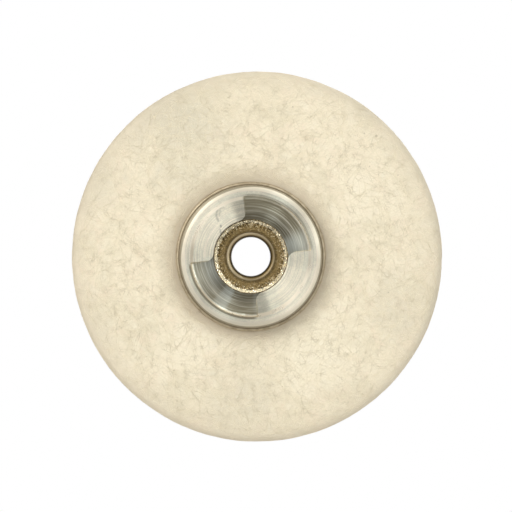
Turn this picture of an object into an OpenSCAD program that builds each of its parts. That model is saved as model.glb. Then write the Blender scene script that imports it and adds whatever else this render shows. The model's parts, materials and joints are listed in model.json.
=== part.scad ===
// Felt polishing wheel on a two-piece metal hub with a bearing bush.
// Millimetres. The wheel stands upright and turns about Y: the driven front face looks along -Y,
// +Z is up, and the origin is on the bore's axis in the middle plane of the felt.

/* [Felt] */
// Diameter of the felt disc
felt_d = 30; // [20:0.5:60]
// Thickness of the felt disc
felt_t = 6; // [3:0.5:12]
// Radius that rounds both edges of the felt's rim
felt_edge_r = 0.7; // [0.2:0.1:1.4]
// How far the felt's rim lies off the bore's axis, towards +X
felt_runout = 0.5; // [0:0.05:1]

/* [Bearing bush] */
// Diameter of the bore that runs on the spindle
bore_d = 3.2; // [2:0.05:4]
// Outer diameter of the bush, pressed into the hub
bush_d = 6; // [5.5:0.1:8]
// Radius that rounds both mouths of the bore
bore_mouth_r = 0.35; // [0.1:0.05:0.4]
// How far the bush's rim stands above the floor of the jaw pockets
bush_rise = 0.1; // [0:0.05:0.3]
// How far the bush's rear end lies inside the rear face
bush_sink = 0.1; // [0:0.05:0.4]
// Width of the flat rim round the bush's front face
bush_rim_w = 0.08; // [0.04:0.01:0.2]
// Width of the slope inside that rim
bush_slope_w = 0.24; // [0.1:0.02:0.3]
// Drop of that slope
bush_slope_drop = 0.2; // [0.05:0.05:0.4]
// Drop of the shallow dish from the slope to the bore's mouth
bush_dish_drop = 0.1; // [0:0.05:0.3]
// Chamfer round both outer edges of the bush
bush_break = 0.05; // [0.02:0.01:0.15]

/* [Drive hub] */
// Diameter of the front collar
collar_d = 11.5; // [10:0.1:16]
// Thickness of the front collar
collar_t = 1.2; // [0.9:0.1:2.5]
// Radius that rounds the outer edge of both collars
collar_edge_r = 0.45; // [0.1:0.05:0.8]
// Wall of the stem that holds the bush and carries the felt
stem_wall = 0.8; // [0.4:0.1:1]
// Spread of the stem's rear end, rolled out at 45 degrees over the rear collar
flare_w = 0.5; // [0.2:0.05:0.6]

/* [Jaw pockets] */
// Number of pockets in the front collar
pocket_count = 2; // [2:1:3]
// Angle that each pocket spans
pocket_sweep = 90; // [40:5:100]
// Angle from +X to the first side wall of the first pocket, turning towards +Z
pocket_start = 6.5; // [0:0.5:90]
// Depth of the pockets
pocket_depth = 0.45; // [0.2:0.05:0.6]
// Width of the plain ring between the pockets and the collar's outer edge
pocket_ring_w = 0.87; // [0.6:0.01:1.2]
// Radius of the fillet at the foot of each pocket's outer wall
pocket_foot_r = 0.3; // [0.1:0.05:0.4]
// Radius that rounds the inner corners of the jaws between the pockets
jaw_nose_r = 0.77; // [0.3:0.01:1]
// Chamfer along the jaws' side edges and round their bore
jaw_break = 0.07; // [0.02:0.01:0.15]

/* [Washers and adhesive] */
// How far each washer reaches past its collar
washer_lip = 0.3; // [0.1:0.05:1]
// Thickness of each washer
washer_t = 0.4; // [0.2:0.1:1]
// Gap all round between a washer and the stem
washer_clear = 0.1; // [0.05:0.05:0.3]
// Thickness of each film of adhesive between a washer and the felt
film_t = 0.1; // [0.05:0.05:0.3]
// How far the edge of each film lies inside its washer's edge
film_inset = 0.3; // [0.1:0.05:0.6]

/* [Rear collar] */
// Thickness of the rear collar, pressed on to the stem
rear_collar_t = 1.2; // [0.8:0.1:2.5]

/* [Hidden] */
$fn = 96;
overcut = 0.5;          // how far a cutter passes a face that it opens

bore_r = bore_d / 2;
bush_r = bush_d / 2;
stem_r = bush_r + stem_wall;
collar_r = collar_d / 2;
pocket_r = collar_r - pocket_ring_w;
washer_r = collar_r + washer_lip;
washer_hole_r = stem_r + washer_clear;
film_r = washer_r - film_inset;

// Heights along the wheel's axis, from the felt's middle plane; the front is positive
felt_z = felt_t / 2;
washer_z = felt_z + film_t;
collar_z = washer_z + washer_t;
front_z = collar_z + collar_t;
floor_z = front_z - pocket_depth;
rear_z = -(collar_z + rear_collar_t);
bush_front_z = floor_z + bush_rise;
bush_mouth_z = bush_front_z - bush_slope_drop - bush_dish_drop;
bush_rear_z = rear_z + bush_sink;

// Turns the wheel's own axis, drawn along +Z with its front up, to lie along Y
module upright() {
    rotate([90, 0, 0]) children();
}

// A plain ring between two radii and two heights
module ring(r_in, r_out, z_low, z_high) {
    rotate_extrude()
        translate([r_in, z_low])
            square([r_out - r_in, z_high - z_low]);
}

// The sliver left outside a quarter circle in a square corner: subtracted, it rounds an outer
// corner, and added, it fills an inner one. The corner is at the origin, with the material
// towards +X and +Y.
module corner_sliver(r) {
    difference() {
        square(r);
        translate([r, r]) circle(r);
    }
}

// Half of a disc's section, from the axis out, with both rim edges rounded
module disc_section(r, z_low, z_high, r_low, r_high) {
    difference() {
        translate([0, z_low]) square([r, z_high - z_low]);
        if (r_low > 0)
            translate([r, z_low]) mirror([1, 0]) corner_sliver(r_low);
        if (r_high > 0)
            translate([r, z_high]) mirror([1, 0]) mirror([0, 1]) corner_sliver(r_high);
    }
}

// Felt

module felt_disc() {
    color("#efe3c8") upright()
        difference() {
            translate([felt_runout, 0, 0])
                rotate_extrude()
                    disc_section(felt_d / 2, -felt_z, felt_z, felt_edge_r, felt_edge_r);
            cylinder(r = stem_r, h = felt_t + 2 * overcut, center = true);
        }
}

// Bearing bush

// Section of the bush, with a raised rim and a shallow dish at the front
module bush_section() {
    slope_r = bush_r - bush_rim_w;
    dish_r = slope_r - bush_slope_w;
    difference() {
        polygon([
            [bore_r, bush_rear_z],
            [bush_r - bush_break, bush_rear_z],
            [bush_r, bush_rear_z + bush_break],
            [bush_r, bush_front_z - bush_break],
            [bush_r - bush_break, bush_front_z],
            [slope_r, bush_front_z],
            [dish_r, bush_front_z - bush_slope_drop],
            [bore_r + bore_mouth_r, bush_mouth_z],
            [bore_r, bush_mouth_z],
        ]);
        translate([bore_r, bush_rear_z]) corner_sliver(bore_mouth_r);
        translate([bore_r, bush_mouth_z]) mirror([0, 1]) corner_sliver(bore_mouth_r);
    }
}

module bearing_bush() {
    color("#7a6540") upright()
        rotate_extrude() bush_section();
}

// Drive hub: the front collar with its jaws, and the stem that carries everything else

// Section of one pocket, with a fillet at the foot of its outer wall
module pocket_section() {
    difference() {
        translate([bush_r / 2, floor_z])
            square([pocket_r - bush_r / 2, pocket_depth + overcut]);
        translate([pocket_r, floor_z]) mirror([1, 0]) corner_sliver(pocket_foot_r);
    }
}

// Opens a pocket's inner corner where it meets a jaw, so that the jaw gets a round nose.
// The pocket's side wall lies along +X, and the jaw is on the side of -Y.
module nose_relief() {
    centre_r = bush_r + jaw_nose_r;
    wall_x = sqrt(centre_r * centre_r - jaw_nose_r * jaw_nose_r);
    translate([0, 0, floor_z])
        linear_extrude(pocket_depth + overcut)
            difference() {
                polygon([[0, 0], [wall_x, -jaw_nose_r], [wall_x, 0]]);
                translate([wall_x, -jaw_nose_r]) circle(jaw_nose_r);
            }
}

// Chamfer along the top of a side wall that lies along +X
module edge_break() {
    width = jaw_break * sqrt(2);
    translate([pocket_r / 2, 0, front_z])
        rotate([45, 0, 0])
            cube([pocket_r, width, width], center = true);
}

// One pocket, its first side wall along +X
module pocket() {
    rotate_extrude(angle = pocket_sweep) pocket_section();
    nose_relief();
    edge_break();
    rotate([0, 0, pocket_sweep]) {
        mirror([0, 1, 0]) nose_relief();
        edge_break();
    }
}

module drive_hub() {
    flare_z = rear_z + flare_w;
    color("#c9c5ba") upright()
        difference() {
            union() {
                rotate_extrude() disc_section(collar_r, collar_z, front_z, 0, collar_edge_r);
                translate([0, 0, rear_z]) cylinder(r = stem_r, h = collar_z - rear_z + overcut);
                translate([0, 0, rear_z]) cylinder(r1 = stem_r + flare_w, r2 = stem_r, h = flare_w);
            }
            translate([0, 0, rear_z - overcut])
                cylinder(r = bush_r, h = front_z - rear_z + 2 * overcut);
            translate([0, 0, front_z - jaw_break])
                cylinder(r1 = bush_r, r2 = bush_r + jaw_break + overcut, h = jaw_break + overcut);
            for (i = [0 : pocket_count - 1])
                rotate([0, 0, pocket_start + i * 360 / pocket_count]) pocket();
        }
}

// Washers, adhesive films and the rear collar

// One washer, its face towards the felt at the lower height and its rim fully rounded
module washer() {
    difference() {
        rotate_extrude()
            disc_section(washer_r, washer_z, collar_z, washer_t / 2, washer_t / 2);
        translate([0, 0, washer_z - overcut])
            cylinder(r = washer_hole_r, h = washer_t + 2 * overcut);
    }
}

module front_washer() {
    color("#b9b1a0") upright() washer();
}

module rear_washer() {
    color("#b9b1a0") upright() mirror([0, 0, 1]) washer();
}

module front_adhesive() {
    color("#b08a4a") upright() ring(washer_hole_r, film_r, felt_z, washer_z);
}

module rear_adhesive() {
    color("#b08a4a") upright() mirror([0, 0, 1]) ring(washer_hole_r, film_r, felt_z, washer_z);
}

module rear_collar() {
    color("#c2beb3") upright()
        difference() {
            rotate_extrude() disc_section(collar_r, rear_z, -collar_z, collar_edge_r, 0);
            translate([0, 0, rear_z - overcut])
                cylinder(r = stem_r, h = rear_collar_t + 2 * overcut);
            translate([0, 0, rear_z]) cylinder(r1 = stem_r + flare_w, r2 = stem_r, h = flare_w);
        }
}

felt_disc();
drive_hub();
bearing_bush();
front_washer();
rear_washer();
front_adhesive();
rear_adhesive();
rear_collar();
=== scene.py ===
"""Looks of the felt polishing wheel: felt, fibres, turned steel, bronze grains and the studio."""

import json
import logging
import math
import random
from dataclasses import dataclass
from enum import Enum
from typing import Any, Callable, Sequence

import bmesh
import bpy
from mathutils import Matrix, Vector, noise


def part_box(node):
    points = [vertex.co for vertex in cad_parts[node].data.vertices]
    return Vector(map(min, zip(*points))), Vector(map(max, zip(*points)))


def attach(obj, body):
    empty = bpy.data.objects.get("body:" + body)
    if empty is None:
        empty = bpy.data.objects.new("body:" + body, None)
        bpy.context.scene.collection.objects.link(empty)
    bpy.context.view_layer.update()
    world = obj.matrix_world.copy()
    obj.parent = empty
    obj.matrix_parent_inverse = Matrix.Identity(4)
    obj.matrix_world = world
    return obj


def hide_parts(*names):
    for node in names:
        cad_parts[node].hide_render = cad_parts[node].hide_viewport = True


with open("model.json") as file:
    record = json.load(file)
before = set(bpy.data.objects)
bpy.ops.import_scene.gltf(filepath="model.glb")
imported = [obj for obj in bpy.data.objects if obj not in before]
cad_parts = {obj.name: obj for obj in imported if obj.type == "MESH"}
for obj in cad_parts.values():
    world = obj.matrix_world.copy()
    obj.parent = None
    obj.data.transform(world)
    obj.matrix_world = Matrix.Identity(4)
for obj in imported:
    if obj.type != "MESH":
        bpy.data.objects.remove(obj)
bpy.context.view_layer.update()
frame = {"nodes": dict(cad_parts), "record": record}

LOG = logging.getLogger("felt_wheel")
MM = 0.001
ROOT = "root"
Colour = tuple[float, float, float]
Socket = bpy.types.NodeSocket


class Slot(Enum):
    """The record's material slots."""

    FELT = "felt"
    STEEL = "turned_steel"
    BRONZE = "sintered_bronze"
    WASHER = "washer_steel"
    GLUE = "adhesive"


class Face(Enum):
    """The wheel's two flat faces, as the sign of Y that each one looks along."""

    FRONT = -1.0
    REAR = 1.0


def mount_place(name: str) -> Vector:
    """Finds one of the wheel's mounts.

    Args:
        name: The mount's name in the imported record.

    Returns:
        Its place in metres.
    """
    for mount in frame["record"]["mounts"]:
        if mount["name"] == name:
            return Vector(mount["pos_m"])
    raise ValueError(f"no mount named {name}")


def smooth_step(value: float, low: float, high: float) -> float:
    """Eases from 0 to 1 as a value goes from one limit to another.

    Args:
        value: The value to place.
        low: Where the result is 0.
        high: Where the result is 1.

    Returns:
        The eased result, from 0 to 1.
    """
    t = min(1.0, max(0.0, (value - low) / (high - low)))
    return t * t * (3.0 - 2.0 * t)


class ShaderGraph:
    """One node material, with its patterns measured in millimetres on the object."""

    def __init__(self, name: str) -> None:
        """Makes a material with an empty Principled shader.

        Args:
            name: The material's name.
        """
        self.material = bpy.data.materials.new(name)
        self.material.use_nodes = True
        self.tree = self.material.node_tree
        self.tree.nodes.clear()
        output = self.tree.nodes.new("ShaderNodeOutputMaterial")
        self.shader = self.tree.nodes.new("ShaderNodeBsdfPrincipled")
        self.tree.links.new(self.shader.outputs["BSDF"], output.inputs["Surface"])
        coordinates = self.tree.nodes.new("ShaderNodeTexCoord")
        self.place = self.vector("SCALE", coordinates.outputs["Object"], scale=1.0 / MM)
        parts = self.node("ShaderNodeSeparateXYZ", {"Vector": self.place})
        self.x, self.y, self.z = parts.outputs
        self.radius = self.distance_from((0.0, 0.0))

    def feed(self, socket: Socket, value: Any) -> None:
        """Links a socket to another one, or sets it to a constant.

        Args:
            socket: The input to feed.
            value: An output socket, a number or a tuple.
        """
        if isinstance(value, bpy.types.NodeSocket):
            self.tree.links.new(value, socket)
        elif socket.type == "RGBA" and len(value) == 3:
            socket.default_value = (*value, 1.0)
        else:
            socket.default_value = value

    def node(self, kind: str, inputs: dict[str, Any], **settings: Any) -> bpy.types.Node:
        """Adds a node.

        Args:
            kind: The node's type.
            inputs: A value or a socket for each input, by name.
            settings: The node's own properties.

        Returns:
            The new node.
        """
        made = self.tree.nodes.new(kind)
        for key, value in settings.items():
            setattr(made, key, value)
        for key, value in inputs.items():
            self.feed(made.inputs[key], value)
        return made

    def math(self, operation: str, first: Any, second: Any = 0.0, third: Any = 0.0,
             clamp: bool = False) -> Socket:
        """Adds a Math node.

        Args:
            operation: What it does.
            first: Its first value.
            second: Its second value.
            third: Its third value, where it has one.
            clamp: Whether the result stays between 0 and 1.

        Returns:
            Its result.
        """
        made = self.node("ShaderNodeMath", {}, operation=operation, use_clamp=clamp)
        self.feed(made.inputs[0], first)
        self.feed(made.inputs[1], second)
        self.feed(made.inputs[2], third)
        return made.outputs[0]

    def vector(self, operation: str, first: Any, second: Any = None, scale: Any = None) -> Socket:
        """Adds a Vector Math node.

        Args:
            operation: What it does.
            first: Its first vector.
            second: Its second vector, where it has one.
            scale: Its factor, where it has one.

        Returns:
            Its result, which is a number for a length.
        """
        made = self.node("ShaderNodeVectorMath", {}, operation=operation)
        self.feed(made.inputs[0], first)
        if second is not None:
            self.feed(made.inputs[1], second)
        if scale is not None:
            self.feed(made.inputs["Scale"], scale)
        return made.outputs["Value" if operation in ("LENGTH", "DISTANCE") else "Vector"]

    def flat_point(self, centre: tuple[float, float]) -> Socket:
        """The place across the wheel's axis, from a centre.

        Args:
            centre: The centre's X and Z in millimetres.

        Returns:
            A vector with no Y.
        """
        made = self.node("ShaderNodeCombineXYZ", {"X": self.x, "Z": self.z})
        return self.vector("SUBTRACT", made.outputs[0], (centre[0], 0.0, centre[1]))

    def distance_from(self, centre: tuple[float, float]) -> Socket:
        """The distance across the wheel's axis from a centre.

        Args:
            centre: The centre's X and Z in millimetres.

        Returns:
            The distance in millimetres.
        """
        return self.vector("LENGTH", self.flat_point(centre))

    def noise(self, scale: float, detail: float = 2.0, rough: float = 0.5, bend: float = 0.0,
              at: Any = None, shift: float = 0.0) -> Socket:
        """Adds a cloud pattern.

        Args:
            scale: How many features there are to a millimetre.
            detail: How many finer layers it has.
            rough: How strong the finer layers are.
            bend: How far it is distorted.
            at: Where it is read, or None for the place on the object.
            shift: Moves the pattern, so that two of them differ.

        Returns:
            A value round 0.5.
        """
        place = self.place if at is None else at
        if shift:
            place = self.vector("ADD", place, (shift, shift * 1.7, -shift * 0.6))
        made = self.node("ShaderNodeTexNoise", {
            "Vector": place, "Scale": scale, "Detail": detail, "Roughness": rough,
            "Distortion": bend})
        return made.outputs["Fac"]

    def line_noise(self, position: Socket, scale: float, detail: float = 2.0) -> Socket:
        """Adds a pattern that varies along one number only, such as a radius.

        Args:
            position: The number.
            scale: How many features there are to a unit of it.
            detail: How many finer layers it has.

        Returns:
            A value round 0.5.
        """
        made = self.node("ShaderNodeTexNoise", {}, noise_dimensions="1D")
        for key, value in (("W", position), ("Scale", scale), ("Detail", detail)):
            self.feed(made.inputs[key], value)
        return made.outputs["Fac"]

    def cells(self, scale: float, feature: str = "F1", shift: float = 0.0) -> bpy.types.Node:
        """Adds a pattern of cells.

        Args:
            scale: How many cells there are to a millimetre.
            feature: Which distance it gives.
            shift: Moves the pattern.

        Returns:
            The node, which has Distance and, for F1, Color.
        """
        place = self.vector("ADD", self.place, (shift, shift, shift))
        return self.node("ShaderNodeTexVoronoi", {"Vector": place, "Scale": scale}, feature=feature)

    def band(self, value: Any, low: float, high: float, to: tuple[float, float] = (0.0, 1.0)) -> Socket:
        """Maps a range smoothly on to another.

        Args:
            value: The value to map.
            low: Where the range starts.
            high: Where it ends.
            to: What it becomes at each end.

        Returns:
            The mapped value, held at both ends.
        """
        if low > high:
            low, high, to = high, low, (to[1], to[0])
        made = self.node("ShaderNodeMapRange", {
            "Value": value, "From Min": low, "From Max": high, "To Min": to[0], "To Max": to[1]},
            interpolation_type="SMOOTHSTEP")
        return made.outputs["Result"]

    def mix(self, factor: Any, first: Any, second: Any, blend: str = "MIX") -> Socket:
        """Mixes two colours.

        Args:
            factor: How much of the second there is.
            first: The first colour.
            second: The second colour.
            blend: How they are mixed.

        Returns:
            The mixed colour.
        """
        made = self.node("ShaderNodeMix", {}, data_type="RGBA", blend_type=blend)
        colours = [socket for socket in made.inputs if socket.type == "RGBA"]
        self.feed(made.inputs["Factor"], factor)
        self.feed(colours[0], first)
        self.feed(colours[1], second)
        return next(socket for socket in made.outputs if socket.type == "RGBA")

    def bump(self, height: Socket, depth: float, strength: float = 1.0) -> None:
        """Gives the surface relief.

        Args:
            height: The height, from 0 to 1.
            depth: How deep that range is, in millimetres.
            strength: How much of it shows.
        """
        before = self.shader.inputs["Normal"].links
        inputs = {"Height": height, "Distance": depth * MM, "Strength": strength}
        if before:
            inputs["Normal"] = before[0].from_socket
        made = self.node("ShaderNodeBump", inputs)
        self.feed(self.shader.inputs["Normal"], made.outputs["Normal"])

    def finish(self, **inputs: Any) -> bpy.types.Material:
        """Feeds the shader and gives the material.

        Args:
            inputs: A value or a socket for each input, with underscores for spaces.

        Returns:
            The finished material.
        """
        for key, value in inputs.items():
            self.feed(self.shader.inputs[key.replace("_", " ")], value)
        return self.material


@dataclass(frozen=True)
class FeltFinish:
    """Cream pressed wool: clouds, matted strands, specks, duller patches, a rim darkened by soiling and
    painted shade, and a painted shadow round the hub.
    """

    name: str = "pressed_wool_felt"
    cream: Colour = (0.93, 0.818, 0.616)
    cloud: Colour = (0.815, 0.722, 0.53)
    pale: Colour = (0.96, 0.875, 0.68)
    rosy: Colour = (0.915, 0.765, 0.58)
    strand: Colour = (0.66, 0.575, 0.41)
    dull: Colour = (0.66, 0.60, 0.455)
    speck: Colour = (0.24, 0.17, 0.09)
    # Colour of the rim's soiling, also used for the rim's painted shade and for the painted shadow
    # round the hub.
    soil_and_shade: Colour = (0.62, 0.525, 0.38)
    rim_centre: tuple[float, float] = (0.0, 0.0)
    rim_radius: float = 15.0
    hub_radius: float = 6.05
    patches: tuple[tuple[float, float, float, float], ...] = (
        (-5.6, 10.8, 5.6, 0.62), (-5.6, 7.4, 3.4, 0.42), (11.6, -3.8, 3.4, 0.42),
        (-0.8, -11.8, 4.4, 0.44), (-0.6, -8.6, 2.4, 0.22), (-12.0, -5.4, 3.0, 0.18),
        (-12.4, 6.2, 2.8, 0.30),
    )
    lit_patches: tuple[tuple[float, float, float, float], ...] = (
        (5.6, -7.6, 5.4, 0.60), (8.6, 4.2, 4.6, 0.30), (-4.6, -7.4, 3.4, 0.35),
    )
    stray_specks: tuple[tuple[float, float, float], ...] = (
        (10.15, 9.75, 0.10), (9.2, 9.95, 0.06), (9.6, 7.3, 0.05), (11.9, 6.6, 0.05),
        (11.1, -2.9, 0.05), (-6.2, -9.2, 0.06), (3.4, 12.1, 0.05),
    )

    def strands(self, graph: ShaderGraph) -> Socket:
        """Lays soft strokes of matted wool over each other in several directions.

        Args:
            graph: The material being made.

        Returns:
            How much strand there is, from 0 to 1.
        """
        total: Any = 0.0
        sway = graph.node("ShaderNodeTexNoise", {
            "Vector": graph.place, "Scale": 0.5, "Detail": 2.0, "Roughness": 0.5})
        bent = graph.vector("SCALE", sway.outputs["Color"], scale=2.4)
        place = graph.vector("ADD", graph.place, bent)
        for index, (turn, fine) in enumerate(((0.25, 2.8), (1.05, 4.6), (1.75, 2.6), (2.6, 4.4))):
            turned = graph.node("ShaderNodeMapping", {
                "Vector": place, "Rotation": (0.0, turn, 0.0), "Scale": (0.4, fine, fine)})
            stroke = graph.noise(1.0, 2.5, 0.6, at=turned.outputs[0], shift=11.0 * (index + 1))
            line = graph.band(stroke, 0.53, 0.76)
            shown = graph.band(graph.noise(0.34, 1.0, shift=31.0 * (index + 1)), 0.4, 0.62,
                               (0.25, 1.0))
            total = graph.math("MAXIMUM", total, graph.math("MULTIPLY", line, shown))
        return total

    def specks(self, graph: ShaderGraph) -> Socket:
        """Puts tiny dark specks in the wool, some of them in known places.

        Args:
            graph: The material being made.

        Returns:
            How much speck there is, from 0 to 1.
        """
        cells = graph.cells(0.36)
        dot = graph.band(cells.outputs["Distance"], 0.010, 0.024, (1.0, 0.0))
        chosen = graph.node("ShaderNodeSeparateColor", {"Color": cells.outputs["Color"]})
        total = graph.math("MULTIPLY", dot, graph.math("GREATER_THAN", chosen.outputs[0], 0.8))
        front = graph.math("LESS_THAN", graph.y, 0.0)
        for x, z, size in self.stray_specks:
            mark = graph.band(graph.distance_from((x, z)), size * 0.5, size * 1.4, (1.0, 0.0))
            total = graph.math("MAXIMUM", total, graph.math("MULTIPLY", mark, front))
        return total

    def toned(self, graph: ShaderGraph, ragged: Socket,
              patches: tuple[tuple[float, float, float, float], ...]) -> Socket:
        """Finds large soft patches, which are strongest on the front face.

        Args:
            graph: The material being made.
            ragged: What makes their outlines uneven, in millimetres.
            patches: Each one's X, Z, radius and depth.

        Returns:
            How strong the patches are, from 0 to 1.
        """
        total: Any = 0.0
        for x, z, size, depth in patches:
            reach = graph.math("ADD", graph.distance_from((x, z)), ragged)
            patch = graph.band(reach, size * 0.15, size, (depth, 0.0))
            total = graph.math("MAXIMUM", total, patch)
        return graph.math("MULTIPLY", total, graph.band(graph.y, -1.5, 1.5, (1.0, 0.25)))

    def material(self) -> bpy.types.Material:
        """Builds the felt.

        Returns:
            The material.
        """
        graph = ShaderGraph(self.name)
        clouds = graph.noise(0.3, 4.0, 0.6, 0.6)
        mottles = graph.noise(1.1, 4.0, 0.62, 0.4, shift=5.0)
        wool = graph.noise(7.5, 3.0, 0.6, 0.8)
        strands = self.strands(graph)
        blush = graph.noise(0.55, 3.0, 0.55, 0.5, shift=21.0)
        colour = graph.mix(graph.band(clouds, 0.44, 0.62, (0.0, 0.9)), self.cream, self.cloud)
        colour = graph.mix(graph.band(blush, 0.48, 0.68, (0.0, 0.55)), colour, self.rosy)
        colour = graph.mix(graph.band(mottles, 0.46, 0.7, (0.0, 0.6)), colour, self.pale)
        colour = graph.mix(graph.band(mottles, 0.32, 0.48, (0.5, 0.0)), colour, self.cloud)
        colour = graph.mix(graph.band(wool, 0.36, 0.6, (0.22, 0.0)), colour, self.cloud)
        colour = graph.mix(graph.math("MULTIPLY", strands, 0.33), colour, self.strand)
        ragged = graph.math("MULTIPLY", graph.math("SUBTRACT", mottles, 0.5), 1.4)
        wide = graph.math("ADD", ragged, graph.band(clouds, 0.3, 0.7, (-1.6, 1.6)))
        colour = graph.mix(self.toned(graph, wide, self.lit_patches), colour, self.pale)
        colour = graph.mix(self.toned(graph, wide, self.patches), colour, self.dull)
        colour = graph.mix(graph.math("MULTIPLY", self.specks(graph), 0.6), colour, self.speck)
        # Soiling and painted shade: the felt darkens towards its rounded rim, which turns away from the
        # light.
        reach = graph.math("ADD", graph.distance_from(self.rim_centre), ragged)
        rim = graph.band(reach, self.rim_radius - 2.2, self.rim_radius + 0.1, (0.0, 0.36))
        wide_rim = graph.band(reach, self.rim_radius - 6.0, self.rim_radius + 0.1, (0.0, 0.12))
        rim = graph.math("ADD", rim, wide_rim)
        colour = graph.mix(rim, colour, self.soil_and_shade)
        # Painted shadow: the felt darkens towards the hub, where the collar's shadow falls.
        hub = graph.math("ADD", graph.radius, graph.math("MULTIPLY", ragged, 0.5))
        painted_shade = graph.band(hub, self.hub_radius - 0.2, self.hub_radius + 1.8, (0.84, 0.0))
        colour = graph.mix(painted_shade, colour, self.soil_and_shade)
        graph.bump(wool, 0.05, 0.45)
        graph.bump(strands, 0.04, 0.5)
        return graph.finish(
            Base_Color=colour, Roughness=0.97, Specular_IOR_Level=0.12, Sheen_Weight=0.12,
            Sheen_Roughness=0.5, Sheen_Tint=(1.0, 0.96, 0.88))


@dataclass(frozen=True)
class FibreFinish:
    """Single wool fibres, each a little darker or lighter than the next."""

    name: str = "wool_fibre"
    dark: Colour = (0.745, 0.655, 0.48)
    pale: Colour = (0.95, 0.855, 0.66)

    def material(self) -> bpy.types.Material:
        """Builds the fibres' finish.

        Returns:
            The material.
        """
        graph = ShaderGraph(self.name)
        tone = graph.band(graph.noise(1.3, 3.0, 0.6), 0.36, 0.56)
        flecks = graph.noise(14.0, 2.0)
        colour = graph.mix(tone, self.dark, self.pale)
        colour = graph.mix(graph.band(flecks, 0.4, 0.7, (0.0, 0.25)), colour, self.pale)
        graph.bump(flecks, 0.004, 0.5)
        return graph.finish(Base_Color=colour, Roughness=0.75, Specular_IOR_Level=0.3)


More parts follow.
